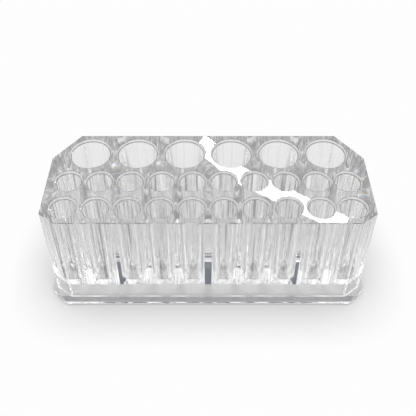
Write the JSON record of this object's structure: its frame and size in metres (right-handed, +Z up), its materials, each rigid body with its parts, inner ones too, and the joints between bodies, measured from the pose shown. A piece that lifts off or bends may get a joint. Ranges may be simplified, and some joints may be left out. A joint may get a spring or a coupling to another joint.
{
  "type": "brush holder",
  "caption": "Thick clear block with straight sides and cut corners, on a flanged base plate, with round wells in rows that hold make-up brushes upright",
  "frame": {"origin": "Middle of the bounding box's bottom, on the level of the feet's soles", "axes": "+X to the right along the rows, seen from the front; +Y to the back, where the large wells are; +Z up, out of the wells"},
  "size_m": [0.222, 0.09, 0.083],
  "materials": {
    "clear_block": "clear, polished",
    "clear_plate": "clear, polished",
    "clear_foot": "clear, satin"
  },
  "bodies": {
    "root": {"well_block": "clear_block", "base_plate": "clear_plate", "foot_front_left": "clear_foot", "foot_front_right": "clear_foot", "foot_back_left": "clear_foot", "foot_back_right": "clear_foot"}
  },
  "joints": []
}
